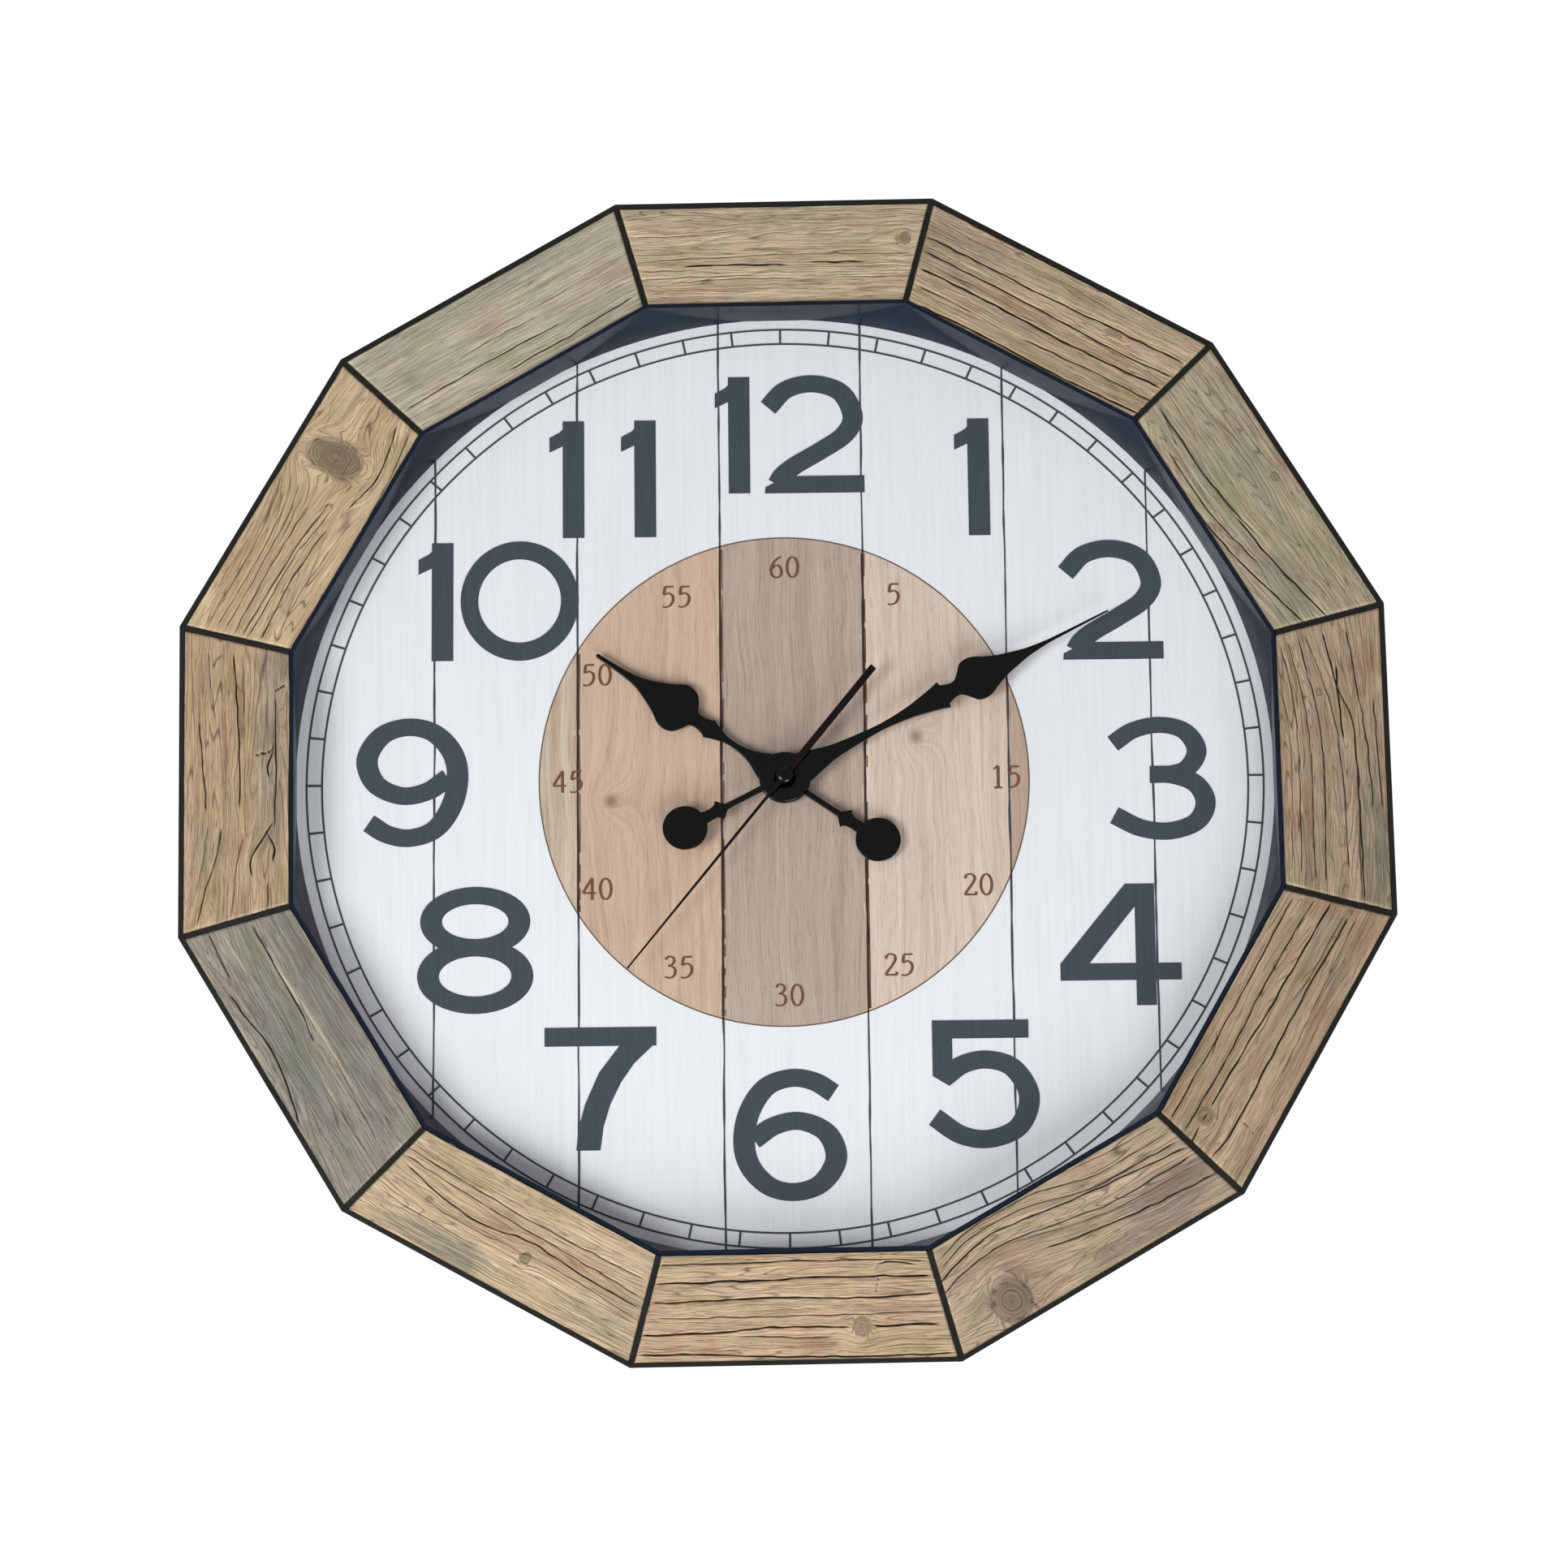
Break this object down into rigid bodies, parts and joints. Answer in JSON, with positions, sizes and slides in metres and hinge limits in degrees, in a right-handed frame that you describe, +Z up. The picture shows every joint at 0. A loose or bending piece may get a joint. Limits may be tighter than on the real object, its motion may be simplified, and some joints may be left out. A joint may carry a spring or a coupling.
{
  "type": "wall clock",
  "caption": "Twelve-sided wall clock: weathered wood panels in a black frame, white plank dial with a wood centre disc, black spade hands and a quartz movement.",
  "frame": {"origin": "on the arbor axis, in the wall plane: the centre of the rear lip's back face", "axes": "+X to the right when looking at the dial, +Y into the wall (the dial faces -Y), +Z up"},
  "size_m": [0.61, 0.047, 0.61],
  "materials": {
    "frame_black": "satin black moulding",
    "weathered_wood": "weathered, cracked and knotted softwood, clear matt coat",
    "bezel_gloss": "glossy blue-black",
    "housing_black": "fine moulded texture",
    "screw_steel": "zinc plated",
    "fibreboard": "raw medium-density fibreboard",
    "dial_print": "satin printed sheet",
    "hanger_steel": "zinc plated",
    "movement_plastic": "fine moulded texture",
    "brass": "machined",
    "gasket_rubber": "matt",
    "natural_plastic": "natural acetal",
    "soft_iron": "stamped",
    "copper_wire": "enamelled copper winding",
    "circuit_board": "solder mask",
    "chip_resin": "cured resin",
    "contact_metal": "nickel plated",
    "battery_wrap": "printed wrap with no marks",
    "magnet": "sintered",
    "hand_black": "gloss black paint"
  },
  "bodies": {
    "root": {"frame_ring": "frame_black", "panel_01": "weathered_wood", "panel_02": "weathered_wood", "panel_03": "weathered_wood", "panel_04": "weathered_wood", "panel_05": "weathered_wood", "panel_06": "weathered_wood", "panel_07": "weathered_wood", "panel_08": "weathered_wood", "panel_09": "weathered_wood", "panel_10": "weathered_wood", "panel_11": "weathered_wood", "panel_12": "weathered_wood", "inner_bezel": "bezel_gloss", "drum_wall": "housing_black", "rear_lip": "housing_black", "mounting_flange": "housing_black", "housing_screws": "screw_steel", "dial_board": "fibreboard", "dial_face": "dial_print", "dial_screws": "screw_steel", "hanger_block": "housing_black", "hanger_plate": "hanger_steel", "hanger_screws": "screw_steel", "movement_case": "movement_plastic", "movement_cover": "movement_plastic", "bushing": "brass", "rubber_gasket": "gasket_rubber", "washer": "brass", "hex_nut": "brass", "train_plate": "natural_plastic", "stator": "soft_iron", "coil_bobbin": "natural_plastic", "coil_winding": "copper_wire", "circuit_board": "circuit_board", "chip_blob": "chip_resin", "quartz_crystal": "contact_metal", "positive_contact": "contact_metal", "negative_contact": "contact_metal"},
    "seconds_train": {"second_wheel": "natural_plastic", "second_hand": "hand_black", "second_hand_cap": "hand_black"},
    "step_train": {"step_wheel": "natural_plastic"},
    "rotor": {"rotor_pinion": "natural_plastic", "rotor_magnet": "magnet"},
    "third_train": {"third_wheel": "natural_plastic"},
    "centre_train": {"centre_wheel": "natural_plastic"},
    "minutes": {"cannon_pinion": "brass", "minute_hand": "hand_black"},
    "motion_work": {"motion_wheel": "natural_plastic", "setting_knob": "natural_plastic"},
    "hours": {"hour_wheel": "natural_plastic", "hour_hand": "hand_black"},
    "battery": {"battery": "battery_wrap"}
  },
  "joints": [
    {"name": "second_hand_spin", "type": "hinge", "parent": "root", "child": "seconds_train", "pos_m": [0, 0, 0], "axis": [0, 1, 0], "continuous": true},
    {"name": "step_wheel_spin", "type": "hinge", "parent": "root", "child": "step_train", "pos_m": [0, 0, 0.01064], "axis": [0, 1, 0], "continuous": true},
    {"name": "rotor_spin", "type": "hinge", "parent": "root", "child": "rotor", "pos_m": [-0.00898, 0, 0.01222], "axis": [0, 1, 0], "continuous": true},
    {"name": "third_wheel_spin", "type": "hinge", "parent": "root", "child": "third_train", "pos_m": [0.01064, 0, 0.00188], "axis": [0, 1, 0], "continuous": true},
    {"name": "centre_wheel_spin", "type": "hinge", "parent": "root", "child": "centre_train", "pos_m": [0, 0, 0], "axis": [0, 1, 0], "continuous": true},
    {"name": "minute_hand_spin", "type": "hinge", "parent": "root", "child": "minutes", "pos_m": [0, 0, 0], "axis": [0, 1, 0], "continuous": true},
    {"name": "motion_wheel_spin", "type": "hinge", "parent": "root", "child": "motion_work", "pos_m": [-0.01123, 0, 0.00198], "axis": [0, 1, 0], "continuous": true},
    {"name": "hour_hand_spin", "type": "hinge", "parent": "root", "child": "hours", "pos_m": [0, 0, 0], "axis": [0, 1, 0], "continuous": true},
    {"name": "battery_slide", "type": "slide", "parent": "root", "child": "battery", "axis": [0, 1, 0], "range_m": [0, 0.022]}
  ],
  "couplings": [
    {"joint": "step_wheel_spin", "follows": "second_hand_spin", "ratio": -6},
    {"joint": "rotor_spin", "follows": "second_hand_spin", "ratio": 30},
    {"joint": "third_wheel_spin", "follows": "second_hand_spin", "ratio": -0.13333},
    {"joint": "centre_wheel_spin", "follows": "second_hand_spin", "ratio": 0.016667},
    {"joint": "motion_wheel_spin", "follows": "minute_hand_spin", "ratio": -0.33333},
    {"joint": "hour_hand_spin", "follows": "minute_hand_spin", "ratio": 0.083333}
  ]
}
